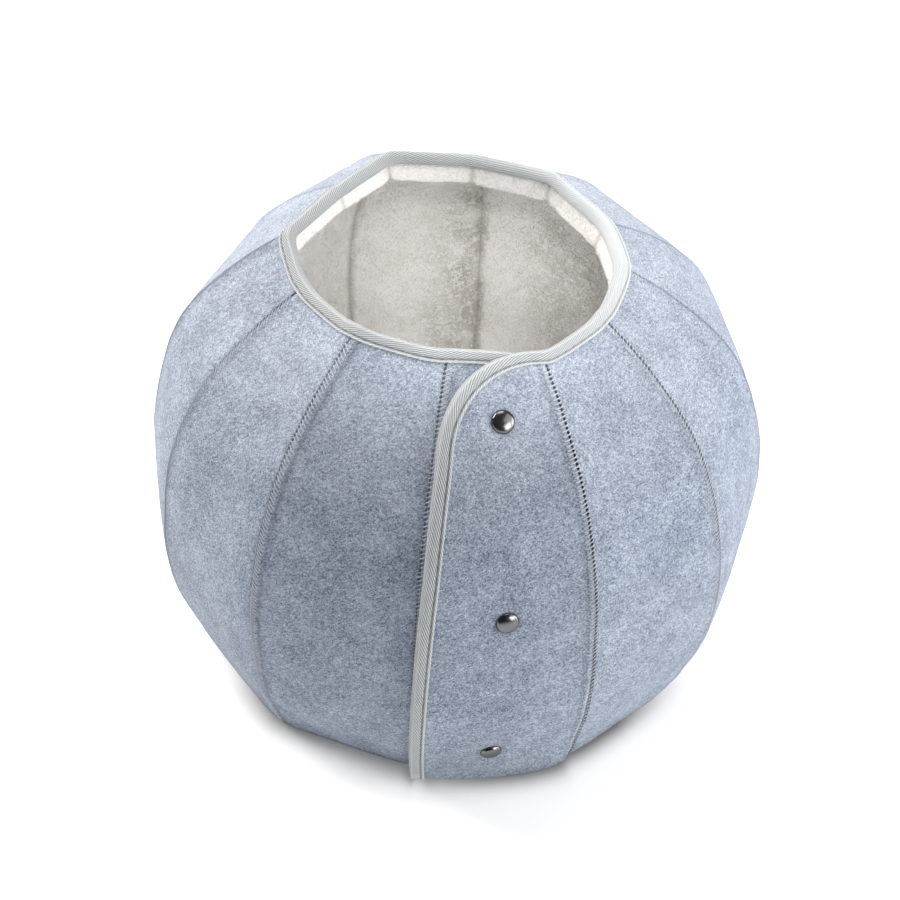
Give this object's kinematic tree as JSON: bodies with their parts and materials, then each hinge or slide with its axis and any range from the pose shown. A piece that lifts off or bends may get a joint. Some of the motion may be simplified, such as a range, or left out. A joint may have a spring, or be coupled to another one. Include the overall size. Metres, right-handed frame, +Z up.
{
  "type": "round felt pet bed",
  "caption": "Round ball-shaped pet bed of felt gores with a plush lining, an open top with a bound rim, and a front flap closed by press studs.",
  "frame": {"origin": "on the floor under the middle of the base, where the seams' planes meet", "axes": "+Z up through the mouth, -Y towards the front with its flap, +X to the right as one faces the front"},
  "size_m": [0.4305, 0.441, 0.3106],
  "materials": {
    "felt": "matte blue-grey melange felt",
    "plush": "short warm light grey plush pile",
    "tape": "pale grey twill tape",
    "metal": "polished dark nickel"
  },
  "bodies": {
    "root": {"base_felt": "felt", "base_plush": "plush", "felt_gore_1": "felt", "plush_gore_1": "plush", "felt_gore_2": "felt", "plush_gore_2": "plush", "felt_gore_3": "felt", "plush_gore_3": "plush", "felt_gore_4": "felt", "plush_gore_4": "plush", "felt_gore_5": "felt", "plush_gore_5": "plush", "felt_gore_6": "felt", "plush_gore_6": "plush", "felt_gore_7": "felt", "plush_gore_7": "plush", "felt_gore_8": "felt", "plush_gore_8": "plush", "felt_gore_9": "felt", "plush_gore_9": "plush", "felt_gore_10": "felt", "plush_gore_10": "plush", "felt_gore_11": "felt", "plush_gore_11": "plush", "felt_underlap": "felt", "plush_underlap": "plush", "felt_flap": "felt", "plush_flap": "plush", "binding_tape": "tape", "stud_cap_1": "metal", "stud_socket_1": "metal", "stud_ball_1": "metal", "stud_cap_2": "metal", "stud_socket_2": "metal", "stud_ball_2": "metal", "stud_cap_3": "metal", "stud_socket_3": "metal", "stud_ball_3": "metal"}
  },
  "joints": []
}
